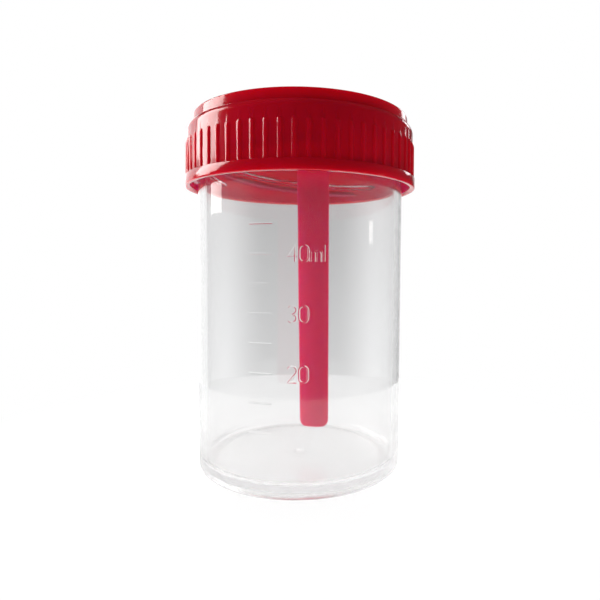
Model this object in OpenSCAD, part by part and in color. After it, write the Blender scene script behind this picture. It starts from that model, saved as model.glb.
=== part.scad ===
// Specimen container: a clear screw-top jar, closed by a ribbed screw cap
// that carries a scoop. The origin is the centre of the jar's foot, +Z is up
// and the jar's graduated side faces -Y.

/* [Jar] */
// Outside diameter of the wall at the mouth
jar_mouth_d = 39.3; // [34:0.1:44]
// How much narrower the wall is above the foot than at the mouth, across
foot_taper = 0.7; // [0:0.1:2]
// Height of the jar from its foot to its rim
jar_h = 63.4; // [50:0.1:90]
// Thickness of the wall
jar_wall = 1.3; // [1:0.05:2]
// Thickness of the floor
jar_floor = 1.4; // [0.8:0.05:3]
// Radius of the rounded edge round the foot
foot_round = 1.3; // [0.6:0.1:2]
// Width of the flat ring that the jar stands on
foot_ring_w = 1.2; // [0.6:0.1:3]
// Height of the panel under the floor above the foot ring
base_recess = 0.6; // [0.3:0.1:1.5]
// Radius of the corner between floor and wall inside the jar
well_round = 1.5; // [0.5:0.1:3]
// Radius of the rounded edges of the rim
rim_round = 0.4; // [0.1:0.05:0.4]

/* [Cap] */
// Height of the cap from the edge of its skirt to the top of its stacking ring
cap_h = 13.2; // [10:0.1:18]
// Radial room between neck and skirt, where the screw thread runs
thread_room = 1.1; // [0.9:0.05:1.5]
// Thickness of the skirt between its ribs
skirt_wall = 0.85; // [0.7:0.05:1.5]
// Radius of the shoulder where the skirt turns into the top
shoulder_r = 1.4; // [0.8:0.1:1.8]
// Thickness of the top plate
plate_t = 1.3; // [1:0.1:2]
// Radius of the inside corner between plate and skirt
corner_r = 0.6; // [0.3:0.1:0.8]

/* [Stacking ring] */
// Height of the ring above the shoulder
ring_h = 1.8; // [1.4:0.1:2.4]
// Depth of the round recess inside the ring, which takes another jar's foot
stack_depth = 1.3; // [0.8:0.1:2]
// Radial room round a foot that stands in the recess
stack_clearance = 0.3; // [0.1:0.05:0.5]
// Thickness of the ring
ring_wall = 0.95; // [0.7:0.05:1]
// Radius of the rounded edges of the ring
ring_round = 0.3; // [0.1:0.05:0.3]

/* [Grip] */
// Number of grip ribs round the skirt
rib_count = 60; // [24:1:72]
// Radius of a rib's rounded section
rib_r = 0.55; // [0.4:0.05:0.8]
// How far a rib stands out of the skirt
rib_proud = 0.27; // [0.15:0.01:0.35]
// Height over which a rib slopes back into the skirt at its top
rib_slope = 0.8; // [0.3:0.1:1.5]
// Height of the plain strip between the ribs and the shoulder
rib_gap = 1.8; // [0.5:0.1:3]
// Height of the plain band below the ribs
band_h = 1.9; // [1.2:0.1:3]
// How far the band stands out of the ribs
band_proud = 0.15; // [0.15:0.05:0.4]
// Bevel on the upper edge of the band
band_bevel = 0.1; // [0.05:0.01:0.1]
// Radius of the band's rounded lower edge
band_round = 0.25; // [0.1:0.05:0.3]
// Depth and width of the bevel inside the edge of the skirt
lead_in = 0.55; // [0.2:0.05:0.6]

/* [Seal] */
// Height of the seal lip that plugs the mouth
seal_h = 3; // [1.5:0.1:4]
// Thickness of the seal lip
seal_wall = 0.9; // [0.6:0.05:1.4]
// Radial clearance between the seal lip and the mouth
seal_clearance = 0.05; // [0.02:0.01:0.1]
// Height of the bevels at the end of the seal lip
seal_bevel = 0.4; // [0.1:0.05:0.5]

/* [Scoop] */
// Gap between the scoop's tip and the floor of the jar
scoop_gap = 4.7; // [2:0.1:30]
// Width of the scoop where it leaves the plate
scoop_root_w = 6.35; // [5:0.05:7]
// Width of the scoop at its tip
scoop_tip_w = 5.4; // [4:0.05:6.5]
// Thickness of the scoop's curved wall
scoop_t = 1.1; // [0.8:0.05:1.3]
// Outside radius of the scoop's gutter section
scoop_bend_r = 4.6; // [4.4:0.1:8]
// Radius of the rounded corners at the tip
scoop_corner_r = 1.3; // [0.5:0.1:1.8]
// Distance of the scoop's root from the axis
scoop_offset = 2.3; // [0:0.1:5]
// Lean of the scoop away from the axis, in degrees
scoop_lean = 0.5; // [0:0.1:1.5]
// Turn of the gutter about its own length, in degrees
scoop_turn = 12; // [0:1:30]

/* [Hidden] */

$fn = 96;
rib_fn = 24;

mouth_r = jar_mouth_d / 2;
foot_r = (jar_mouth_d - foot_taper) / 2;

// the wall leans outwards from the top of the foot's rounded edge to the rim
function jar_out_r(z) = foot_r + (mouth_r - foot_r) * (z - foot_round) / (jar_h - foot_round);
function jar_in_r(z) = jar_out_r(z) - jar_wall;

well_z = base_recess + jar_floor;

// the cap is set out from the jar's rim, which carries the top plate
plate_z = jar_h;
recess_z = plate_z + plate_t;
cap_top_z = recess_z + stack_depth;
skirt_z = cap_top_z - cap_h;
bore_r = mouth_r + thread_room;
skirt_r = bore_r + skirt_wall;
rib_crest_r = skirt_r + rib_proud;
band_r = rib_crest_r + band_proud;
band_z = skirt_z + band_h;
recess_r = foot_r + stack_clearance;
ring_r = recess_r + ring_wall;

// the shoulder's arc rises from the skirt until it meets the stacking ring
shoulder_c_r = skirt_r - shoulder_r;
shoulder_end = acos(max(0, (ring_r - shoulder_c_r) / shoulder_r));
shoulder_z = cap_top_z - ring_h - shoulder_r * sin(shoulder_end);

rib_c_r = rib_crest_r - rib_r;
rib_top_z = shoulder_z - rib_gap;

// the seal lip is sized at its lower end, where the mouth is narrowest
seal_z = plate_z - seal_h;
seal_out_r = jar_in_r(seal_z) - seal_clearance;
seal_in_r = seal_out_r - seal_wall;

scoop_l = plate_z - well_z - scoop_gap;

// points along an arc about [cx, cz], from angle a0 to angle a1
function arc(cx, cz, r, a0, a1, steps = 8) =
    [for (i = [0:steps]) let (a = a0 + (a1 - a0) * i / steps) [cx + r * cos(a), cz + r * sin(a)]];

// a thin-walled cup with a raised floor panel, standing on a narrow ring
module jar() {
    stand_r = foot_r - foot_round;
    panel_r = stand_r - foot_ring_w;
    rim_in_r = jar_in_r(jar_h);
    well_r = jar_in_r(well_z + well_round);
    color([0.86, 0.88, 0.89, 0.45])
    rotate_extrude()
    polygon(concat(
        [[0, base_recess], [panel_r - base_recess, base_recess], [panel_r, 0]],
        arc(stand_r, foot_round, foot_round, -90, 0),
        arc(mouth_r - rim_round, jar_h - rim_round, rim_round, 0, 90),
        arc(rim_in_r + rim_round, jar_h - rim_round, rim_round, 90, 180),
        arc(well_r - well_round, well_z + well_round, well_round, 0, -90),
        [[0, well_z]]
    ));
}

// skirt, band, shoulder, stacking ring, top plate and seal lip in one section
module cap_shell() {
    rotate_extrude()
    polygon(concat(
        [[0, plate_z], [seal_in_r, plate_z], [seal_in_r, seal_z + seal_bevel]],
        [[seal_in_r + seal_bevel / 2, seal_z], [seal_out_r - seal_bevel / 2, seal_z]],
        [[seal_out_r, seal_z + seal_bevel], [seal_out_r, plate_z]],
        arc(bore_r - corner_r, plate_z - corner_r, corner_r, 90, 0, 4),
        [[bore_r, skirt_z + lead_in], [bore_r + lead_in, skirt_z]],
        arc(band_r - band_round, skirt_z + band_round, band_round, -90, 0, 4),
        [[band_r, band_z - band_bevel], [band_r - band_bevel, band_z], [skirt_r, band_z]],
        arc(shoulder_c_r, shoulder_z, shoulder_r, 0, shoulder_end),
        arc(ring_r - ring_round, cap_top_z - ring_round, ring_round, 0, 90, 4),
        arc(recess_r + ring_round, cap_top_z - ring_round, ring_round, 90, 180, 4),
        [[recess_r, recess_z], [0, recess_z]]
    ));
}

// the ribs seen from above: rounded ribs that stand on a ring inside the skirt
module rib_section() {
    circle(skirt_r - skirt_wall / 3);
    for (i = [0:rib_count - 1])
        rotate(i * 360 / rib_count) translate([rib_c_r, 0]) circle(rib_r, $fn = rib_fn);
}

// the grip: ribs that rise from inside the band and are turned down at the top,
// so that each one ends in a rounded arch where it runs out into the skirt
module ribs() {
    foot_z = band_z - band_h / 2;
    root_r = skirt_r - skirt_wall / 2;
    far_r = rib_crest_r + 1;
    rise = rib_slope / rib_proud;
    top_z = rib_top_z + rise * (skirt_r - root_r);
    intersection() {
        translate([0, 0, foot_z]) linear_extrude(top_z - foot_z + 1) rib_section();
        rotate_extrude()
        polygon([
            [root_r, foot_z - 1], [far_r, foot_z - 1],
            [far_r, rib_top_z - rise * (far_r - skirt_r)], [root_r, top_z]
        ]);
    }
}

// front outline of the scoop, from its tip at y = 0 up to its root
module scoop_outline() {
    c = scoop_corner_r;
    tip = scoop_tip_w / 2;
    root = scoop_root_w / 2;
    top = scoop_l + plate_t / 2;
    polygon(concat(
        [[root, top], [-root, top]],
        arc(c - tip, c, c, 180, 270),
        arc(tip - c, c, c, -90, 0)
    ));
}

// the scoop hangs from the plate: a slice of tube, cut to the outline, that
// bulges towards -Y and is hollow behind
module scoop() {
    translate([scoop_offset, 0, plate_z])
    rotate([0, -scoop_lean, 0])
    rotate([0, 0, -scoop_turn])
    translate([0, scoop_bend_r - scoop_t, -scoop_l])
    intersection() {
        rotate([90, 0, 0]) linear_extrude(scoop_bend_r + 1) scoop_outline();
        translate([0, 0, -1]) difference() {
            cylinder(r = scoop_bend_r, h = scoop_l + plate_t + 2);
            translate([0, 0, -1]) cylinder(r = scoop_bend_r - scoop_t, h = scoop_l + plate_t + 4);
        }
    }
}

module cap() {
    color([0.72, 0.03, 0.07])
    union() {
        cap_shell();
        ribs();
        scoop();
    }
}

jar();
cap();
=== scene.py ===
import math

import bpy
from mathutils import Matrix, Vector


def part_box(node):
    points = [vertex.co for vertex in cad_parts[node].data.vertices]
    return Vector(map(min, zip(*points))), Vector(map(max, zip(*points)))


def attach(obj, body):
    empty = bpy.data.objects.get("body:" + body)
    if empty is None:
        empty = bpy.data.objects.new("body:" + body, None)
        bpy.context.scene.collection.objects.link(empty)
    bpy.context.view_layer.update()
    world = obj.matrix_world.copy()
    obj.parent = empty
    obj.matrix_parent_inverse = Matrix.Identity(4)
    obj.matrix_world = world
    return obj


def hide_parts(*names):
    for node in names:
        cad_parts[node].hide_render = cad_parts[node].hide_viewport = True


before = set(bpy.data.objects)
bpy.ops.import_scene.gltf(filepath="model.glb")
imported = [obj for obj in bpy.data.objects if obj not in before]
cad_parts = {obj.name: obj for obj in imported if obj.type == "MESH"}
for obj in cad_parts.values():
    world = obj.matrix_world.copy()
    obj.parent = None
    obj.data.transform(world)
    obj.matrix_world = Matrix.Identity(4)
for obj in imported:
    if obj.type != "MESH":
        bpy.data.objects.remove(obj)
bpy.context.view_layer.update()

JAR_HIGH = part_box("jar")[1]
CAP_LOW, CAP_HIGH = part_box("cap")

# All sizes are in metres, radii are measured from the jar's axis, and angles
# round it are in degrees from +X towards +Y. An edge stays crisp where its
# faces turn by more than the crease angle. A run is four values: where a
# smooth change starts, where it ends, and the level at each.
MM = 0.001
WELD = 0.002 * MM

# ---- jar, whose mouth and height come from the frame
MOUTH_R = JAR_HIGH.x
JAR_H = JAR_HIGH.z
JAR_SIDES = 480
JAR_CREASE = 35
FOOT_R = MOUTH_R - 0.35 * MM
WALL = 1.3 * MM
FLOOR = 1.4 * MM
FOOT_ROUND = 1.3 * MM
FOOT_RING_W = 1.2 * MM
BASE_RECESS = 0.6 * MM
WELL_ROUND = 1.5 * MM
RIM_ROUND = 0.4 * MM
RIM_PLAY = 0.02 * MM  # between the rim and the cap's plate
GATE_R = 1.1 * MM
GATE_TIP_R = 0.88 * MM
GATE_H = 0.3 * MM

# ---- screw thread: three starts, right-handed
THREAD_STARTS = 3
THREAD_LEAD = 12 * MM
THREAD_W = 1.35 * MM
THREAD_CREST_W = 0.3 * MM
THREAD_FLANK = 0.8  # share of its height at which a flank starts to round over
THREAD_FLANK_W = 0.75 * MM
THREAD_STEP = 4.0  # between two of its sections
THREAD_RUN_OUT = 16.0  # over which either end fades
THREAD_STUB = 0.02  # share of the run-out that its blunt end leaves off
NECK_THREAD_CREST_R = 20.5 * MM
NECK_THREAD_SINK = 0.12 * MM
NECK_THREAD_Z = 55.25 * MM
NECK_THREAD_START = 29.0
NECK_THREAD_TURN = 156.0
CAP_THREAD_CREST_R = 20.05 * MM
CAP_THREAD_SINK = 0.1 * MM
CAP_THREAD_DROP = 1.45 * MM  # below the neck's thread
CAP_THREAD_LATER = 20.0  # further round than the start of the neck's
CAP_THREAD_TURN = 112.0

# ---- raised graduations on the front of the jar
# a mark is a round line of radius MARK_R that is sunk until only MARK_PROUD of it stands out
MARK_R = 0.3 * MM
MARK_PROUD = 0.055 * MM
MARK_ROUND_STEPS = 4
DIGIT_H = 2.6 * MM
DIGIT_W = 1.45 * MM
DIGIT_GAP = 0.35 * MM
DIGITS_LEFT = -2.0 * MM
LETTER_M_LEFT = -0.05 * MM
LETTER_M_ARCH = 0.92 * MM
LETTER_M_H = 1.768 * MM
LETTER_L_LEFT = 2.4 * MM
LETTER_L_H = 2.704 * MM
TEN_ML = 9.64 * MM
TWENTY_ML_Z = 19.5 * MM
TICK_LEFT = -8.6 * MM
TICK_RIGHT = -4.6 * MM
TICK_SPANS = 8  # straight spans in each short line, which is bent round the wall
TICKS = 8
TICKS_BELOW_20 = 2

# ---- cap, set out from the jar's rim as the frame has it
PLATE_Z = JAR_H
PLATE_T = 1.3 * MM
CAP_TOP_Z = CAP_HIGH.z
BAND_R = CAP_HIGH.x
CAP_H = 13.2 * MM
CAP_CREASE = 50
BORE_R = MOUTH_R + 1.1 * MM
SKIRT_R = BORE_R + 0.85 * MM
CORNER_R = 0.6 * MM
SHOULDER_R = 1.4 * MM
RING_H = 1.8 * MM
RECESS_R = FOOT_R + 0.3 * MM
RING_R = RECESS_R + 0.95 * MM
RING_ROUND = 0.3 * MM
BAND_H = 1.9 * MM
BAND_BEVEL = 0.1 * MM
BAND_ROUND = 0.25 * MM
LEAD_IN = 0.55 * MM
SEAL_H = 3 * MM
SEAL_WALL = 0.9 * MM
SEAL_CLEARANCE = 0.05 * MM
SEAL_BEVEL = 0.4 * MM
SEAL_ROOT_ROUND = 0.3 * MM

# ---- grip ribs: each is a round bar of radius RIB_ROUND, sunk until only RIB_PROUD of it
# stands out, and is shaped out of columns of the skirt that are RIB_STEP degrees apart
RIB_COUNT = 60
RIB_TURN = 2.7  # how far the ribs are turned from +X towards -Y
RIB_ROUND = 0.55 * MM
RIB_PROUD = 0.27 * MM
RIB_SLOPE = 0.8 * MM
RIB_GAP = 1.8 * MM
RIB_STEP = 0.25
RIB_SIDE_STEPS = 5
RIB_TOP_SHARES = (0, 0.3, 0.55, 0.75, 0.9, 1)
PLAIN_STEPS = 3

# ---- scoop
SCOOP_TIP_Z = CAP_LOW.z
SCOOP_ROOT_W = 6.35 * MM
SCOOP_TIP_W = 5.4 * MM
SCOOP_T = 1.1 * MM
SCOOP_BEND_R = 4.6 * MM
SCOOP_CORNER_R = 1.3 * MM
SCOOP_EDGE = 0.22 * MM
SCOOP_EDGE_STEPS = 4
SCOOP_EDGE_ANGLE = 60
SCOOP_CREASE = 40
SCOOP_OFFSET = 2.3 * MM
SCOOP_LEAN = 0.5
SCOOP_TURN = 12.0
SCOOP_COLUMNS = 20
SCOOP_ROWS = 12
SCOOP_TIP_SHARES = (0, 0.02, 0.08, 0.18, 0.32, 0.5, 0.72, 1)

# ---- moulded skin: scales of its patterns; a larger one is finer
SKIN_CLOUDS = 160
SKIN_WAVES = 70
SKIN_GRAIN = 2600

# ---- clear plastic
# the jar's own faint grey tint, paler at the foot as painted light from the floor and greyer up the wall as
# painted shade
CLEAR_FOOT_TINT_AND_PAINTED_LIGHT = (0.95, 0.95, 0.948, 1)
CLEAR_WALL_TINT_AND_PAINTED_SHADE = (0.93, 0.932, 0.935, 1)
CLEAR_PAINTED_SHADE_RISE = (5 * MM, 25 * MM, 0, 1)  # from foot to wall, by height
CLEAR_SHADOW = (0.93, 0.94, 0.95, 1)
CLEAR_REFRACTION = 1.49
CLEAR_TRANSMISSION = 0.98
CLEAR_FROST = (2 * MM, 12 * MM, 0.23, 0.05)  # roughness by height
CLEAR_SKIN = (0.03, 0.012 * MM, 0.0003 * MM)  # unevenness of the gloss, wave height, grain height

# ---- red plastic
OUTER_REDS = ((0.3, (0.55, 0.001, 0.016, 1)), (0.7, (0.62, 0.002, 0.02, 1)))  # stops of its ramp
OUTER_RED_CLOUDS = 90
OUTER_COAT = 0.5
OUTER_ROUGHNESS = 0.16
# the scoop and the cap's inside are painted lighter and pinker than the outside, as painted glow of light
# through the thin red plastic
SCOOP_PAINTED_GLOW_RED = (0.62, 0.009, 0.1, 1)
INSIDE_PAINTED_GLOW_RED = (0.97, 0.006, 0.13, 1)
INSIDE_PAINTED_GLOW_RISE = (52 * MM, 57 * MM, 0, 1)  # from the scoop's red to the cap's inside, by height
INSIDE_R = BORE_R + 0.2 * MM
INSIDE_TOP_Z = PLATE_Z + 0.5 * MM
INSIDE_ROUGHNESS = 1.0
RIDGE_ROUGHNESS = 0.2
RED_REFRACTION = 1.35
RED_DEPTHS = (3, 0.3, 0.4)  # how far red, green and blue light sinks in, in mm
COAT_ROUGHNESS = 0.04
RED_SKIN = (0.04, 0.012 * MM, 0.0006 * MM)

# ---- camera, whose turns are in radians
CAMERA_AT = (0, -98.6 * MM, 37.75 * MM)
CAMERA_LENS = 29.94
CAMERA_YAW = 0.0479
CAMERA_PITCH = 0.0224
CAMERA_ROLL = 0.0048
CAMERA_SHIFT = (-0.0407, -0.0342)
CAMERA_NEAR = 5 * MM

# ---- room: its level for each kind of light, as runs along a direction of length 1
ROOM_SOFT = (-0.6, 0.8, 0.22, 1.2)  # on matt surfaces, along Y
ROOM_GLOSS = (0.8, 0.98, 0.03, 0.9)  # mirrored, along Y
ROOM_ROUND = (-0.75, -0.3, 0, 0.9)  # mirrored and passed through plastic, along Y
ROOM_BELOW = (-0.15, -0.5, 0, 0.9)  # the same, down along Z
WALL_SIDES = (0.1, 0.24, 0.635, 0.9)  # seen straight through the jar, along X to either side
WALL_DOWN = (0.12, -0.22, 0, 0.17)  # added to it, down along Z

# ---- floor: matt and pale to the light; where it is seen, a darker matt that
# keeps the shadow and a glow lie over each other, and fade to white at the edge
FLOOR_R = 79 * MM
FLOOR_SIDES = 96
FLOOR_DROP = 0.02 * MM
FLOOR_PALE = 0.82
FLOOR_SHADE = 0.35
FLOOR_GLOW = 0.77
FLOOR_FADE = (40 * MM, FLOOR_R, 0, 1)

# ---- lamps
# azimuth from the front to the right, distance, low edge, high edge, width, level and colour
SOFTBOXES = {
    "window_left_high": (-100, 0.307, 0.120, 0.33, 0.188, 7, (1, 0.96, 0.93)),
    "window_left_low": (-100.3, 0.307, 0.077, 0.120, 0.103, 7, (1, 0.96, 0.93)),
    "back_left": (-140, 0.35, -0.15, 0.25, 0.26, 1.2, (1, 1, 1)),
    "window_right": (137, 0.30, 0.155, 0.22, 0.08, 3, (0.97, 0.98, 1)),
    "strip_right": (79, 0.30, 0.054, 0.070, 0.03, 5, (1, 0.97, 0.94)),
}
FILL_AT = (-0.3, -0.05, 0.15)
FILL_TILT = 63
FILL_SIZE = 0.2
FILL_LEVEL = 3.4
BOUNCE_Z = 0.05 * MM
BOUNCE_R = 0.1
BOUNCE_LEVEL = 0.75


def jar_out_r(z):
    """Outside radius of the jar's leaning wall at height z."""
    return FOOT_R + (MOUTH_R - FOOT_R) * (z - FOOT_ROUND) / (JAR_H - FOOT_ROUND)


def arc(cx, cz, radius, start, end, steps):
    """Points along an arc about (cx, cz), with both ends."""
    angles = [math.radians(start + (end - start) * i / steps) for i in range(steps + 1)]
    return [(cx + radius * math.cos(a), cz + radius * math.sin(a)) for a in angles]


# ---------------------------------------------------------------- handwork
def lay_out_alone(obj):
    """Selects obj and nothing else."""
    bpy.ops.object.select_all(action="DESELECT")
    obj.select_set(True)
    bpy.context.view_layer.objects.active = obj


def open_mesh(obj):
    """Opens the mesh for editing, with all of its vertices selected."""
    lay_out_alone(obj)
    bpy.ops.object.mode_set(mode="EDIT")
    bpy.ops.mesh.select_mode(type="VERT")
    bpy.ops.mesh.select_all(action="SELECT")


def close_mesh():
    """Ends the editing of a mesh."""
    bpy.ops.object.mode_set(mode="OBJECT")


def pick(obj, wanted):
    """In edit mode, selects the vertices whose place passes the test wanted(co)."""
    bpy.ops.mesh.select_all(action="DESELECT")
    bpy.ops.object.mode_set(mode="OBJECT")
    for vertex in obj.data.vertices:
        vertex.select = wanted(vertex.co)
    bpy.ops.object.mode_set(mode="EDIT")


def weld_and_face_out():
    """In edit mode, merges doubled vertices and turns every face outwards."""
    bpy.ops.mesh.select_all(action="SELECT")
    bpy.ops.mesh.remove_doubles(threshold=WELD)
    bpy.ops.mesh.normals_make_consistent(inside=False)


def draw_line(name, points, closed=False):
    """A chain of edges through points, drawn out of one vertex."""
    bpy.ops.object.select_all(action="DESELECT")
    bpy.ops.mesh.primitive_plane_add(size=MM, location=points[0])
    line = bpy.context.object
    line.name = name
    bpy.ops.object.transform_apply(location=True, rotation=False, scale=False)
    open_mesh(line)
    bpy.ops.mesh.merge(type="CENTER")
    for here, there in zip(points, points[1:]):
        step = [b - a for a, b in zip(here, there)]
        bpy.ops.mesh.extrude_vertices_move(TRANSFORM_OT_translate={"value": step})
    if closed:
        ends = (points[0], points[-1])
        pick(line, lambda co: min(math.dist(co, end) for end in ends) < WELD)
        bpy.ops.mesh.edge_face_add()
    close_mesh()
    return line


def draw_section(name, section):
    """The line that a turned piece's wall follows, drawn in the XZ plane."""
    return draw_line(name, [(r, 0, z) for r, z in section])


def apply_modifier(obj, kind, **settings):
    """Gives obj a modifier with these settings and makes its result the mesh."""
    lay_out_alone(obj)
    modifier = obj.modifiers.new(kind.lower(), kind)
    for key, value in settings.items():
        setattr(modifier, key, value)
    bpy.ops.object.modifier_apply(modifier=modifier.name)


def join(name, pieces):
    """Makes several meshes one piece."""
    lay_out_alone(pieces[0])
    for piece in pieces[1:]:
        piece.select_set(True)
    bpy.ops.object.join()
    pieces[0].name = name
    pieces[0].data.name = name
    return pieces[0]


def fuse(body, tool):
    """Joins tool to body as one closed skin."""
    apply_modifier(body, "BOOLEAN", operation="UNION", object=tool, solver="EXACT", use_self=True)
    bpy.data.objects.remove(tool)


def smooth(obj, crease):
    """Smooth shading led by the larger faces, with crisp edges where the faces turn by more than crease."""
    lay_out_alone(obj)
    bpy.ops.object.shade_smooth_by_angle(angle=math.radians(crease))
    apply_modifier(obj, "WEIGHTED_NORMAL", keep_sharp=True)


# ---------------------------------------------------------------- jar
def jar_section():
    """Half section of the jar, from under the floor round the wall to inside it."""
    stand_r = FOOT_R - FOOT_ROUND
    panel_r = stand_r - FOOT_RING_W
    well_z = BASE_RECESS + FLOOR
    rim_z = JAR_H - RIM_PLAY - RIM_ROUND
    rim_in_r = jar_out_r(JAR_H) - WALL
    well_r = jar_out_r(well_z + WELL_ROUND) - WALL
    gate = [(0, BASE_RECESS - GATE_H), (GATE_TIP_R, BASE_RECESS - GATE_H), (GATE_R, BASE_RECESS)]
    foot = [(panel_r - BASE_RECESS, BASE_RECESS), (panel_r, 0)]
    return [
        *gate,
        *foot,
        *arc(stand_r, FOOT_ROUND, FOOT_ROUND, -90, 0, steps=10),
        *arc(MOUTH_R - RIM_ROUND, rim_z, RIM_ROUND, 0, 90, steps=6),
        *arc(rim_in_r + RIM_ROUND, rim_z, RIM_ROUND, 90, 180, steps=6),
        *arc(well_r - WELL_ROUND, well_z + WELL_ROUND, WELL_ROUND, 0, -90, steps=10),
        (0, well_z),
    ]


def turned_wall(name, section, sides):
    """The section turned once round the axis."""
    piece = draw_section(name, section)
    open_mesh(piece)
    bpy.ops.mesh.spin(steps=sides, angle=math.tau, center=(0, 0, 0), axis=(0, 0, 1))
    weld_and_face_out()
    close_mesh()
    return piece


def thread_size(angle, turn):
    """Size of the ridge's section at an angle from its start: it grows and fades along quarter circles."""
    to_end = min(angle, turn - angle) / THREAD_RUN_OUT
    return math.sqrt(max(0.0, 1 - (1 - min(1.0, to_end + THREAD_STUB)) ** 2))


def ridge(name, root_r, crest_r, low_z, start, turn):
    """One start of a screw thread: a rounded ridge that climbs round the axis and runs out at both ends."""
    flank_r = root_r + (crest_r - root_r) * THREAD_FLANK
    corners = [(root_r, -THREAD_W / 2), (flank_r, -THREAD_FLANK_W / 2), (crest_r, -THREAD_CREST_W / 2)]
    corners += [(r, -z) for r, z in reversed(corners)]
    first = math.radians(start)
    section = [(r * math.cos(first), r * math.sin(first), low_z + z) for r, z in corners]
    thread = draw_line(name, section, closed=True)
    open_mesh(thread)
    size = 1.0
    for station in range(round(turn / THREAD_STEP) + 1):
        if station:
            bpy.ops.mesh.extrude_edges_move(
                TRANSFORM_OT_translate={"value": (0, 0, THREAD_LEAD * THREAD_STEP / 360)}
            )
            bpy.ops.transform.rotate(
                value=-math.radians(THREAD_STEP), orient_axis="Z", center_override=(0, 0, 0)
            )
        angle = station * THREAD_STEP
        a = math.radians(start + angle)
        centre = (root_r * math.cos(a), root_r * math.sin(a), low_z + THREAD_LEAD * angle / 360)
        wanted = thread_size(angle, turn)
        bpy.ops.transform.resize(value=(wanted / size,) * 3, center_override=centre)
        size = wanted
    # a face closes the last section, which is still selected, and then the first
    bpy.ops.mesh.edge_face_add()
    pick(
        thread,
        lambda co: abs(co.x * math.sin(first) - co.y * math.cos(first)) < WELD
        and co.x * math.cos(first) + co.y * math.sin(first) > 0,
    )
    bpy.ops.mesh.edge_face_add()
    weld_and_face_out()
    close_mesh()
    return thread


def all_starts(thread):
    """Copies one start of the thread round the axis."""
    open_mesh(thread)
    bpy.ops.mesh.spin(
        steps=THREAD_STARTS, angle=math.tau, dupli=True, center=(0, 0, 0), axis=(0, 0, 1)
    )
    weld_and_face_out()
    close_mesh()
    return thread


def neck_thread():
    """The thread outside the jar's neck."""
    root_r = jar_out_r(NECK_THREAD_Z) - NECK_THREAD_SINK
    thread = ridge(
        "neck_thread", root_r, NECK_THREAD_CREST_R, NECK_THREAD_Z, NECK_THREAD_START, NECK_THREAD_TURN
    )
    return all_starts(thread)


def on_wall(along, z):
    """The middle of a sunk line at height z on the front wall, along to the right of its middle."""
    r = jar_out_r(z)
    sunk_r = r - MARK_R + MARK_PROUD
    return (sunk_r * math.sin(along / r), -sunk_r * math.cos(along / r), z)


def raised_line(points, closed=False):
    """A rounded raised line on the wall, through (along, height) points."""
    line = draw_line("mark", [on_wall(along, z) for along, z in points], closed)
    bpy.ops.object.convert(target="CURVE")
    line.data.bevel_depth = MARK_R
    line.data.bevel_resolution = MARK_ROUND_STEPS
    line.data.use_fill_caps = True
    bpy.ops.object.convert(target="MESH")
    return bpy.context.object


# Each sign gives its strokes as (points, whether the stroke closes), from its left foot.
def zero():
    r = DIGIT_W / 2
    top = arc(r, DIGIT_H - r, r, 0, 180, steps=10)
    bottom = arc(r, r, r, 180, 360, steps=10)
    return [(top + bottom, True)]


def four():
    stem_x = DIGIT_W * 0.78
    bar_z = DIGIT_H * 0.34
    return [([(stem_x, 0), (stem_x, DIGIT_H), (0, bar_z), (DIGIT_W, bar_z)], False)]


def three():
    r = DIGIT_H / 4
    bowl_x = DIGIT_W - r * 1.1
    upper = arc(bowl_x, 3 * r, r, 150, -90, steps=10)
    lower = arc(bowl_x, r, r, 90, -150, steps=10)
    return [(upper + lower[1:], False)]


def two():
    r = DIGIT_W / 2
    bowl = arc(r, DIGIT_H - r, r, 160, -35, steps=9)
    return [(bowl + [(0, 0), (DIGIT_W, 0)], False)]


def letter_m():
    r = LETTER_M_ARCH / 2
    strokes = [([(0, 0), (0, LETTER_M_H)], False)]
    for left in (0, LETTER_M_ARCH):
        arch = arc(left + r, LETTER_M_H - r, r, 180, 0, steps=6)
        strokes.append(([*arch, (left + LETTER_M_ARCH, 0)], False))
    return strokes


def letter_l():
    return [([(0, 0), (0, LETTER_L_H)], False)]


def graduations():
    """Figures at 20, 30 and 40 ml, and a short line for each 5 ml."""
    step = DIGIT_W + DIGIT_GAP
    lines = []
    for row, figure in enumerate((two, three, four)):
        base = TWENTY_ML_Z + row * TEN_ML
        signs = [(figure, 0), (zero, step)]
        if figure is four:
            signs += [(letter_m, 2 * step + LETTER_M_LEFT), (letter_l, 2 * step + LETTER_L_LEFT)]
        for sign, left in signs:
            for points, closed in sign():
                placed = [(DIGITS_LEFT + left + x, base + z) for x, z in points]
                lines.append(raised_line(placed, closed))
    run = [TICK_LEFT + (TICK_RIGHT - TICK_LEFT) * i / TICK_SPANS for i in range(TICK_SPANS + 1)]
    for tick in range(TICKS):
        z = TWENTY_ML_Z + DIGIT_H / 2 + (tick - TICKS_BELOW_20) * TEN_ML / 2
        lines.append(raised_line([(along, z) for along in run]))
    return join("graduations", lines)


def jar_body():
    """The turned jar with its thread and graduations fused on."""
    jar = turned_wall("jar_body", jar_section(), JAR_SIDES)
    fuse(jar, join("raised", [neck_thread(), graduations()]))
    smooth(jar, JAR_CREASE)
    return jar


# ---------------------------------------------------------------- cap
def rib_levels(band_z, shoulder_z):
    """Heights of the rings that shape a rib, from the band up, and how far the rib stands out at each."""
    top_z = shoulder_z - RIB_GAP
    levels = [(band_z, 1.0)]
    for share in RIB_TOP_SHARES:
        levels.append((top_z - RIB_SLOPE * (1 - share), math.sqrt(1 - share * share)))
    return levels


def shoulder():
    """Centre, top angle and foot of the arc between skirt and stacking ring."""
    centre_r = SKIRT_R - SHOULDER_R
    end = math.degrees(math.acos((RING_R - centre_r) / SHOULDER_R))
    foot_z = CAP_TOP_Z - RING_H - SHOULDER_R * math.sin(math.radians(end))
    return centre_r, end, foot_z


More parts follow.
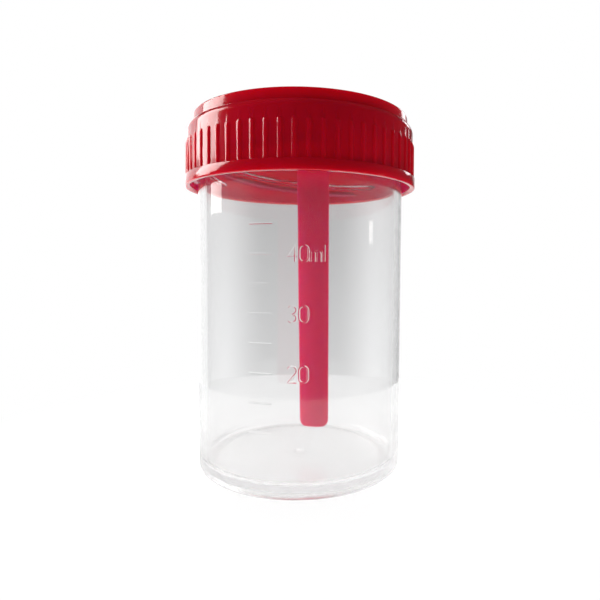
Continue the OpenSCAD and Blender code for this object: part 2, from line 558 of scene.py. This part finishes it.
def cap_section():
    """Half section of the cap, from the middle of its underside to the middle of its top."""
    skirt_z = CAP_TOP_Z - CAP_H
    band_z = skirt_z + BAND_H
    recess_z = PLATE_Z + PLATE_T
    seal_z = PLATE_Z - SEAL_H
    seal_out_r = jar_out_r(seal_z) - WALL - SEAL_CLEARANCE
    seal_in_r = seal_out_r - SEAL_WALL
    centre_r, end, shoulder_z = shoulder()
    return [
        (0, PLATE_Z),
        *arc(seal_in_r - SEAL_ROOT_ROUND, PLATE_Z - SEAL_ROOT_ROUND, SEAL_ROOT_ROUND, 90, 0, steps=4),
        (seal_in_r, seal_z + SEAL_BEVEL),
        (seal_in_r + SEAL_BEVEL / 2, seal_z),
        (seal_out_r - SEAL_BEVEL / 2, seal_z),
        (seal_out_r, seal_z + SEAL_BEVEL),
        (seal_out_r, PLATE_Z),
        *arc(BORE_R - CORNER_R, PLATE_Z - CORNER_R, CORNER_R, 90, 0, steps=5),
        (BORE_R, skirt_z + LEAD_IN),
        (BORE_R + LEAD_IN, skirt_z),
        *arc(BAND_R - BAND_ROUND, skirt_z + BAND_ROUND, BAND_ROUND, -90, 0, steps=5),
        (BAND_R, band_z - BAND_BEVEL),
        (BAND_R - BAND_BEVEL, band_z),
        *[(SKIRT_R, z) for z, _ in rib_levels(band_z, shoulder_z)],
        *arc(centre_r, shoulder_z, SHOULDER_R, 0, end, steps=10),
        *arc(RING_R - RING_ROUND, CAP_TOP_Z - RING_ROUND, RING_ROUND, 0, 90, steps=5),
        *arc(RECESS_R + RING_ROUND, CAP_TOP_Z - RING_ROUND, RING_ROUND, 90, 180, steps=5),
        *arc(RECESS_R - RING_ROUND, recess_z + RING_ROUND, RING_ROUND, 0, -90, steps=4),
        (0, recess_z),
    ]


def raise_rib(slice_of_cap, band_z, shoulder_z):
    """Pulls the middle columns of the slice outwards into one rounded rib with an arched top."""
    core = RIB_ROUND - RIB_PROUD
    for z, share in rib_levels(band_z, shoulder_z):
        for column in range(RIB_SIDE_STEPS):
            across = SKIRT_R * math.radians(column * RIB_STEP)
            proud = math.sqrt(RIB_ROUND**2 - across**2) - core - RIB_PROUD * (1 - share)
            if proud <= 0:
                continue
            spot = (SKIRT_R * math.cos(across / SKIRT_R), SKIRT_R * math.sin(across / SKIRT_R))
            pick(
                slice_of_cap,
                lambda co: abs(co.z - z) < WELD
                and abs(co.x - spot[0]) < WELD
                and abs(abs(co.y) - spot[1]) < WELD,
            )
            grow = 1 + proud / SKIRT_R
            bpy.ops.transform.resize(value=(grow, grow, 1), center_override=(0, 0, z))


def cap_body():
    """One slice of the cap with its rib, copied round the axis."""
    cap = draw_section("cap_body", cap_section())
    open_mesh(cap)
    rib_half = RIB_STEP * RIB_SIDE_STEPS
    slice_half = 180 / RIB_COUNT
    bpy.ops.transform.rotate(
        value=-math.radians(slice_half), orient_axis="Z", center_override=(0, 0, 0)
    )
    spans = (
        (slice_half - rib_half, PLAIN_STEPS),
        (2 * rib_half, 2 * RIB_SIDE_STEPS),
        (slice_half - rib_half, PLAIN_STEPS),
    )
    for angle, steps in spans:
        bpy.ops.mesh.spin(steps=steps, angle=math.radians(angle), center=(0, 0, 0), axis=(0, 0, 1))
    band_z = CAP_TOP_Z - CAP_H + BAND_H
    raise_rib(cap, band_z, shoulder()[2])
    bpy.ops.mesh.select_all(action="SELECT")
    bpy.ops.mesh.spin(
        steps=RIB_COUNT, angle=math.tau, dupli=True, center=(0, 0, 0), axis=(0, 0, 1)
    )
    weld_and_face_out()
    bpy.ops.mesh.select_all(action="SELECT")
    bpy.ops.transform.rotate(
        value=math.radians(RIB_TURN), orient_axis="Z", center_override=(0, 0, 0)
    )
    close_mesh()
    smooth(cap, CAP_CREASE)
    return cap


def cap_thread():
    """The cap's thread, which runs just under the neck's."""
    root_r = BORE_R + CAP_THREAD_SINK
    low_z = NECK_THREAD_Z - CAP_THREAD_DROP + THREAD_LEAD * CAP_THREAD_LATER / 360
    start = NECK_THREAD_START + CAP_THREAD_LATER
    thread = ridge("cap_thread", root_r, CAP_THREAD_CREST_R, low_z, start, CAP_THREAD_TURN)
    thread = all_starts(thread)
    smooth(thread, CAP_CREASE)
    return thread


def hang_scoop(blade):
    """Turns and leans the scoop as it hangs from the plate."""
    place = (
        Matrix.Translation((SCOOP_OFFSET, 0, PLATE_Z))
        @ Matrix.Rotation(math.radians(-SCOOP_LEAN), 4, "Y")
        @ Matrix.Rotation(math.radians(-SCOOP_TURN), 4, "Z")
        @ Matrix.Translation((0, -SCOOP_T / 2, SCOOP_TIP_Z - PLATE_Z))
    )
    blade.matrix_world = place
    lay_out_alone(blade)
    bpy.ops.object.transform_apply(location=True, rotation=True, scale=True)


def scoop():
    """A flat blade drawn row by row from its rounded tip to its root, then thickened and bent."""
    length = PLATE_Z + PLATE_T / 2 - SCOOP_TIP_Z
    tip = SCOOP_TIP_W / 2
    rows = []
    for share in SCOOP_TIP_SHARES:
        z = share * SCOOP_CORNER_R
        inset = SCOOP_CORNER_R - math.sqrt(SCOOP_CORNER_R**2 - (SCOOP_CORNER_R - z) ** 2)
        rows.append((z, tip - inset))
    for row in range(1, SCOOP_ROWS + 1):
        z = SCOOP_CORNER_R + (length - SCOOP_CORNER_R) * row / SCOOP_ROWS
        rows.append((z, tip + (SCOOP_ROOT_W / 2 - tip) * z / length))
    across = [rows[0][1] * (2 * i / SCOOP_COLUMNS - 1) for i in range(SCOOP_COLUMNS + 1)]
    blade = draw_line("scoop", [(x, 0, 0) for x in across])
    open_mesh(blade)
    for (z0, half0), (z1, half1) in zip(rows, rows[1:]):
        bpy.ops.mesh.extrude_edges_move(TRANSFORM_OT_translate={"value": (0, 0, z1 - z0)})
        bpy.ops.transform.resize(value=(half1 / half0, 1, 1), center_override=(0, 0, z1))
    close_mesh()
    apply_modifier(blade, "SOLIDIFY", thickness=SCOOP_T, offset=0)
    apply_modifier(
        blade,
        "BEVEL",
        width=SCOOP_EDGE,
        segments=SCOOP_EDGE_STEPS,
        limit_method="ANGLE",
        angle_limit=math.radians(SCOOP_EDGE_ANGLE),
    )
    middle_r = SCOOP_BEND_R - SCOOP_T / 2
    apply_modifier(
        blade,
        "SIMPLE_DEFORM",
        deform_method="BEND",
        deform_axis="Z",
        angle=SCOOP_ROOT_W / middle_r,
    )
    open_mesh(blade)
    weld_and_face_out()
    close_mesh()
    hang_scoop(blade)
    smooth(blade, SCOOP_CREASE)
    return blade


# ---------------------------------------------------------------- materials
def add_node(tree, kind, place, **settings):
    """A new node; place is where it lies in the tree's drawing."""
    node = tree.nodes.new(kind)
    node.location = place
    for key, value in settings.items():
        setattr(node, key, value)
    return node


def set_or_link(tree, socket, value):
    """Links the socket where value is another node's output, and sets it where it is plain numbers."""
    if isinstance(value, bpy.types.NodeSocket):
        tree.links.new(value, socket)
    else:
        socket.default_value = value


def combine(tree, operation, place, *values):
    """One value worked out from others, each of them a socket or a number."""
    node = add_node(tree, "ShaderNodeMath", place, operation=operation)
    for socket, value in zip(node.inputs, values):
        set_or_link(tree, socket, value)
    return node.outputs[0]


def ease(tree, place, along, run):
    """The level that a run gives to the value along."""
    node = add_node(tree, "ShaderNodeMapRange", place, interpolation_type="SMOOTHSTEP")
    for name, value in zip(("From Min", "From Max", "To Min", "To Max"), run):
        node.inputs[name].default_value = value
    tree.links.new(along, node.inputs["Value"])
    return node.outputs["Result"]


def mix_colours(tree, place, share, one, other):
    """The first colour where share is 0, and the other where it is 1."""
    node = add_node(tree, "ShaderNodeMix", place, data_type="RGBA")
    tree.links.new(share, node.inputs["Factor"])
    ends = [socket for socket in node.inputs if socket.type == "RGBA"]
    for socket, colour in zip(ends, (one, other)):
        set_or_link(tree, socket, colour)
    return next(socket for socket in node.outputs if socket.type == "RGBA")


def mix_shaders(tree, place, share, one, other):
    """The first shader where share is 0, and the other where it is 1."""
    node = add_node(tree, "ShaderNodeMixShader", place)
    for socket, value in zip(node.inputs, (share, one, other)):
        tree.links.new(value, socket)
    return node.outputs[0]


def bare_tree(owner):
    """The node tree of a material or a world, with nothing in it."""
    owner.use_nodes = True
    owner.node_tree.nodes.clear()
    return owner.node_tree


def moulded_skin():
    """Shared finish of moulded plastic: broad waves from cooling, a fine grain, and uneven gloss."""
    group = bpy.data.node_groups.new("moulded_skin", "ShaderNodeTree")
    for name in ("Roughness", "Unevenness", "Wave Height", "Grain Height"):
        group.interface.new_socket(name, in_out="INPUT", socket_type="NodeSocketFloat")
    group.interface.new_socket("Roughness", in_out="OUTPUT", socket_type="NodeSocketFloat")
    group.interface.new_socket("Normal", in_out="OUTPUT", socket_type="NodeSocketVector")
    given = add_node(group, "NodeGroupInput", (-900, 0)).outputs
    result = add_node(group, "NodeGroupOutput", (500, 0)).inputs
    place = add_node(group, "ShaderNodeTexCoord", (-900, -300)).outputs["Object"]
    noises = []
    for scale, row in ((SKIN_CLOUDS, 200), (SKIN_WAVES, -100), (SKIN_GRAIN, -400)):
        noise = add_node(group, "ShaderNodeTexNoise", (-650, row))
        noise.inputs["Scale"].default_value = scale
        group.links.new(place, noise.inputs["Vector"])
        noises.append(noise)
    clouds, waves, grain = noises
    waves.inputs["Detail"].default_value = 1
    centred = combine(group, "SUBTRACT", (-420, 200), clouds.outputs["Fac"], 0.5)
    uneven = add_node(group, "ShaderNodeMath", (-200, 200), operation="MULTIPLY_ADD", use_clamp=True)
    for socket, value in zip(uneven.inputs, (centred, given["Unevenness"], given["Roughness"])):
        group.links.new(value, socket)
    group.links.new(uneven.outputs[0], result["Roughness"])
    wave_bump = add_node(group, "ShaderNodeBump", (-200, -100))
    grain_bump = add_node(group, "ShaderNodeBump", (100, -200))
    for noise, bump, height in ((waves, wave_bump, "Wave Height"), (grain, grain_bump, "Grain Height")):
        group.links.new(noise.outputs["Fac"], bump.inputs["Height"])
        group.links.new(given[height], bump.inputs["Distance"])
    group.links.new(wave_bump.outputs["Normal"], grain_bump.inputs["Normal"])
    group.links.new(grain_bump.outputs["Normal"], result["Normal"])
    return group


def new_plastic(name):
    """A material with a Principled shader, which cover() then makes its surface."""
    material = bpy.data.materials.new(name)
    tree = bare_tree(material)
    return material, tree, add_node(tree, "ShaderNodeBsdfPrincipled", (100, 0))


def piece_place(tree):
    """The place on the piece that wears the material, and its height."""
    place = add_node(tree, "ShaderNodeTexCoord", (-1300, 300)).outputs["Object"]
    split = add_node(tree, "ShaderNodeSeparateXYZ", (-1100, 300))
    tree.links.new(place, split.inputs[0])
    return place, split.outputs["Z"]


def give_skin(tree, body, skin, roughness, values):
    """Adds the moulded finish with this plastic's own values; its roughness changes over the piece."""
    finish = add_node(tree, "ShaderNodeGroup", (-250, -200), node_tree=skin)
    tree.links.new(roughness, finish.inputs["Roughness"])
    for name, value in zip(("Unevenness", "Wave Height", "Grain Height"), values):
        finish.inputs[name].default_value = value
    for name in ("Roughness", "Normal"):
        tree.links.new(finish.outputs[name], body.inputs[name])


def cover(tree, shader):
    """Makes the shader the surface of its material."""
    output = add_node(tree, "ShaderNodeOutputMaterial", (700, 0))
    tree.links.new(shader, output.inputs["Surface"])


def clear_plastic(skin):
    """Slightly milky clear polypropylene, frosted at its foot; its faint grey tint is paler at the foot as
    painted light from the floor and greyer up the wall as painted shade.
    """
    material, tree, body = new_plastic("clear_plastic")
    _, height = piece_place(tree)
    # painted light and shade: the tint is paler at the foot and greyer higher up the wall
    painted_light_rise = ease(tree, (-700, 300), height, CLEAR_PAINTED_SHADE_RISE)
    tint_and_painted_shade = mix_colours(tree, (-450, 300), painted_light_rise, CLEAR_FOOT_TINT_AND_PAINTED_LIGHT, CLEAR_WALL_TINT_AND_PAINTED_SHADE)
    tree.links.new(tint_and_painted_shade, body.inputs["Base Color"])
    body.inputs["IOR"].default_value = CLEAR_REFRACTION
    body.inputs["Transmission Weight"].default_value = CLEAR_TRANSMISSION
    frost = ease(tree, (-700, -200), height, CLEAR_FROST)
    give_skin(tree, body, skin, frost, CLEAR_SKIN)
    # light from the lamps passes the jar in a straight line, so that its shadow stays pale
    passing = add_node(tree, "ShaderNodeBsdfTransparent", (100, -350))
    passing.inputs["Color"].default_value = CLEAR_SHADOW
    path = add_node(tree, "ShaderNodeLightPath", (100, 350))
    in_shadow = path.outputs["Is Shadow Ray"]
    cover(tree, mix_shaders(tree, (450, 0), in_shadow, body.outputs[0], passing.outputs[0]))
    return material


def inside_painted_glow_mask(tree, place, height):
    """1 on the scoop and within the cap's bore, where the red carries painted glow, 0 on the cap's outside.
    """
    flat = add_node(tree, "ShaderNodeVectorMath", (-1100, 700), operation="MULTIPLY")
    flat.inputs[1].default_value = (1, 1, 0)
    reach = add_node(tree, "ShaderNodeVectorMath", (-900, 700), operation="LENGTH")
    tree.links.new(place, flat.inputs[0])
    tree.links.new(flat.outputs[0], reach.inputs[0])
    within = combine(tree, "LESS_THAN", (-700, 700), reach.outputs["Value"], INSIDE_R)
    below = combine(tree, "LESS_THAN", (-700, 500), height, INSIDE_TOP_Z)
    return combine(tree, "MULTIPLY", (-500, 600), within, below)


def outer_red(tree, place):
    """The cap's outer red, a little lighter and darker in slow clouds."""
    clouds = add_node(tree, "ShaderNodeTexNoise", (-700, 100))
    clouds.inputs["Scale"].default_value = OUTER_RED_CLOUDS
    ramp = add_node(tree, "ShaderNodeValToRGB", (-450, 100))
    for stop, (share, colour) in enumerate(OUTER_REDS):
        ramp.color_ramp.elements[stop].position = share
        ramp.color_ramp.elements[stop].color = colour
    tree.links.new(place, clouds.inputs["Vector"])
    tree.links.new(clouds.outputs["Fac"], ramp.inputs[0])
    return ramp.outputs[0]


def red_plastic(name, skin, depth, inner_coat, inner_roughness):
    """Red that is glossy outside the cap, and painted lighter and pinker on the scoop and inside the cap as
    painted glow of light through the thin plastic; light sinks into it by depth, from 0 to 1.
    """
    material, tree, body = new_plastic(name)
    place, height = piece_place(tree)
    inside = inside_painted_glow_mask(tree, place, height)
    # painted glow: the scoop's red lower down, and the brighter red of the cap's inside above it
    painted_light_rise = ease(tree, (-700, 300), height, INSIDE_PAINTED_GLOW_RISE)
    painted_glow_red = mix_colours(tree, (-450, 300), painted_light_rise, SCOOP_PAINTED_GLOW_RED, INSIDE_PAINTED_GLOW_RED)
    colour = mix_colours(tree, (-150, 300), inside, outer_red(tree, place), painted_glow_red)
    tree.links.new(colour, body.inputs["Base Color"])
    body.inputs["IOR"].default_value = RED_REFRACTION
    body.inputs["Subsurface Weight"].default_value = depth
    body.inputs["Subsurface Radius"].default_value = RED_DEPTHS
    body.inputs["Subsurface Scale"].default_value = MM
    body.inputs["Coat Roughness"].default_value = COAT_ROUGHNESS
    coat = ease(tree, (-450, -100), inside, (0, 1, OUTER_COAT, inner_coat))
    tree.links.new(coat, body.inputs["Coat Weight"])
    roughness = ease(tree, (-450, -350), inside, (0, 1, OUTER_ROUGHNESS, inner_roughness))
    give_skin(tree, body, skin, roughness, RED_SKIN)
    cover(tree, body.outputs[0])
    return material


# ---------------------------------------------------------------- stage
def seen_straight(tree, path):
    """1 for what the camera sees directly or straight through clear plastic, and 0 for other rays."""
    unmirrored = combine(tree, "LESS_THAN", (-400, 450), path["Glossy Depth"], 0.5)
    through = combine(tree, "MULTIPLY", (-250, 400), path["Is Transmission Ray"], unmirrored)
    return combine(tree, "MAXIMUM", (-100, 350), path["Is Camera Ray"], through)


def gloss_level(tree, path, way):
    """What mirrored light finds: little but the far wall, and more of the room through plastic."""
    far = ease(tree, (-650, -200), way["Y"], ROOM_GLOSS)
    around = ease(tree, (-650, -600), way["Y"], ROOM_ROUND)
    below = ease(tree, (-650, -400), way["Z"], ROOM_BELOW)
    round_about = combine(tree, "MAXIMUM", (-420, -500), around, below)
    inside = combine(tree, "MULTIPLY", (-420, -400), round_about, path["Is Transmission Ray"])
    return combine(tree, "MAXIMUM", (-420, -300), far, inside)


def wall_level(tree, path, way):
    """The room seen straight: white to the camera itself; through the jar grey, and paler to the sides."""
    sideways = combine(tree, "ABSOLUTE", (-880, 700), way["X"])
    sides = ease(tree, (-650, 700), sideways, WALL_SIDES)
    down = ease(tree, (-650, 500), way["Z"], WALL_DOWN)
    lit = add_node(tree, "ShaderNodeMix", (-200, 600), data_type="FLOAT")
    lit.inputs["B"].default_value = 1
    tree.links.new(path["Is Camera Ray"], lit.inputs["Factor"])
    tree.links.new(combine(tree, "ADD", (-420, 600), sides, down), lit.inputs["A"])
    return lit.outputs[0]


def studio_world():
    """A room that is dim behind the camera and bright beyond the jar, and shows as its three levels say."""
    world = bpy.data.worlds.new("studio")
    bpy.context.scene.world = world
    tree = bare_tree(world)
    path = add_node(tree, "ShaderNodeLightPath", (-1300, 300)).outputs
    direction = add_node(tree, "ShaderNodeTexCoord", (-1300, -200))
    split = add_node(tree, "ShaderNodeSeparateXYZ", (-1100, -200))
    tree.links.new(direction.outputs["Generated"], split.inputs[0])
    way = split.outputs
    shown = []
    for row, level in (
        (0, ease(tree, (-650, 0), way["Y"], ROOM_SOFT)),
        (-200, gloss_level(tree, path, way)),
        (200, wall_level(tree, path, way)),
    ):
        background = add_node(tree, "ShaderNodeBackground", (0, row))
        background.inputs["Color"].default_value = (1, 1, 1, 1)
        tree.links.new(level, background.inputs["Strength"])
        shown.append(background.outputs[0])
    soft, gloss, straight = shown
    unseen = mix_shaders(tree, (200, 0), path["Is Glossy Ray"], soft, gloss)
    room = mix_shaders(tree, (400, 0), seen_straight(tree, path), unseen, straight)
    output = add_node(tree, "ShaderNodeOutputWorld", (600, 0))
    tree.links.new(room, output.inputs["Surface"])


def matt(tree, place, grey):
    """A matt shader of an even grey."""
    node = add_node(tree, "ShaderNodeBsdfDiffuse", place)
    node.inputs["Color"].default_value = (grey, grey, grey, 1)
    return node.outputs[0]


def floor_finish():
    """Matt to the light that falls on it, and white where it is seen, with the jar's soft shadow."""
    material = bpy.data.materials.new("pale_floor")
    tree = bare_tree(material)
    path = add_node(tree, "ShaderNodeLightPath", (-600, 300)).outputs
    sent_on = combine(tree, "MAXIMUM", (-400, 400), path["Is Glossy Ray"], path["Is Transmission Ray"])
    seen = combine(tree, "MAXIMUM", (-200, 350), path["Is Camera Ray"], sent_on)
    glow = add_node(tree, "ShaderNodeEmission", (-200, -300))
    glow.inputs["Strength"].default_value = FLOOR_GLOW
    near = add_node(tree, "ShaderNodeAddShader", (0, -200))
    tree.links.new(matt(tree, (-200, -150), FLOOR_SHADE), near.inputs[0])
    tree.links.new(glow.outputs[0], near.inputs[1])
    white = add_node(tree, "ShaderNodeEmission", (0, -350))
    place = add_node(tree, "ShaderNodeTexCoord", (-900, -450))
    reach = add_node(tree, "ShaderNodeVectorMath", (-700, -450), operation="LENGTH")
    tree.links.new(place.outputs["Object"], reach.inputs[0])
    away = ease(tree, (-500, -450), reach.outputs["Value"], FLOOR_FADE)
    faded = mix_shaders(tree, (200, -250), away, near.outputs[0], white.outputs[0])
    cover(tree, mix_shaders(tree, (400, 0), seen, matt(tree, (-200, 0), FLOOR_PALE), faded))
    return material


def pale_floor():
    """A small round table top under the jar."""
    bpy.ops.object.select_all(action="DESELECT")
    bpy.ops.mesh.primitive_circle_add(
        vertices=FLOOR_SIDES, radius=FLOOR_R, fill_type="NGON", location=(0, 0, -FLOOR_DROP)
    )
    floor = bpy.context.object
    floor.name = "floor"
    floor.data.materials.append(floor_finish())


def area_lamp(name, place, turn, level, area, unseen):
    """A lamp that doesn't show to the camera, through the jar, or to the kind of ray named by unseen."""
    bpy.ops.object.select_all(action="DESELECT")
    bpy.ops.object.light_add(type="AREA", location=place, rotation=turn)
    lamp = bpy.context.object
    lamp.name = name
    lamp.data.energy = level * math.pi * area
    for ray in ("camera", "transmission", unseen):
        setattr(lamp, "visible_" + ray, False)
    return lamp.data


def softbox(name, azimuth, distance, low, high, width, level, colour):
    """An upright panel that shows in the gloss and adds no light to matt surfaces."""
    a = math.radians(azimuth)
    place = (distance * math.sin(a), -distance * math.cos(a), (low + high) / 2)
    light = area_lamp(name, place, (math.pi / 2, 0, a), level, width * (high - low), "diffuse")
    light.shape = "RECTANGLE"
    light.size = width
    light.size_y = high - low
    light.color = colour


def fill_left():
    """Soft light from the window side."""
    turn = (0, -math.radians(FILL_TILT), 0)
    light = area_lamp("fill_left", FILL_AT, turn, FILL_LEVEL, FILL_SIZE**2, "glossy")
    light.size = FILL_SIZE


def floor_bounce():
    """The light that the pale floor throws back up, through the jar and under the cap."""
    area = math.pi * BOUNCE_R**2
    light = area_lamp("floor_bounce", (0, 0, BOUNCE_Z), (math.pi, 0, 0), BOUNCE_LEVEL, area, "glossy")
    light.shape = "DISK"
    light.size = 2 * BOUNCE_R


def camera():
    """A camera close in front of the jar, a little above its middle."""
    bpy.ops.object.camera_add(location=CAMERA_AT)
    eye = bpy.context.object
    turn = (
        Matrix.Rotation(-CAMERA_YAW, 3, "Z")
        @ Matrix.Rotation(math.pi / 2 - CAMERA_PITCH, 3, "X")
        @ Matrix.Rotation(CAMERA_ROLL, 3, "Z")
    )
    eye.rotation_euler = turn.to_euler()
    eye.data.lens = CAMERA_LENS
    eye.data.shift_x, eye.data.shift_y = CAMERA_SHIFT
    eye.data.clip_start = CAMERA_NEAR
    bpy.context.scene.camera = eye


# ---------------------------------------------------------------- assembly
bpy.context.scene.view_settings.view_transform = "Standard"
# light runs on inside the jar's wall until it gets out
bpy.context.scene.cycles.max_bounces = 32
bpy.context.scene.cycles.glossy_bounces = 16
bpy.context.scene.cycles.transmission_bounces = 24
bpy.context.scene.cycles.transparent_max_bounces = 24
camera()
studio_world()
pale_floor()
for box_name, settings in SOFTBOXES.items():
    softbox(box_name, *settings)
fill_left()
floor_bounce()

skin = moulded_skin()
clear = clear_plastic(skin)
red = red_plastic("red_plastic", skin, depth=1, inner_coat=0, inner_roughness=INSIDE_ROUGHNESS)
red_ridge = red_plastic("red_ridge", skin, depth=0, inner_coat=1, inner_roughness=RIDGE_ROUGHNESS)

jar = jar_body()
cap = cap_body()
thread = cap_thread()
blade = scoop()

for piece, body, finish in (
    (jar, "jar", clear),
    (cap, "cap", red),
    (thread, "cap", red_ridge),
    (blade, "cap", red),
):
    piece.data.materials.clear()
    piece.data.materials.append(finish)
    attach(piece, body)
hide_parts("jar")
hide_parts("cap")
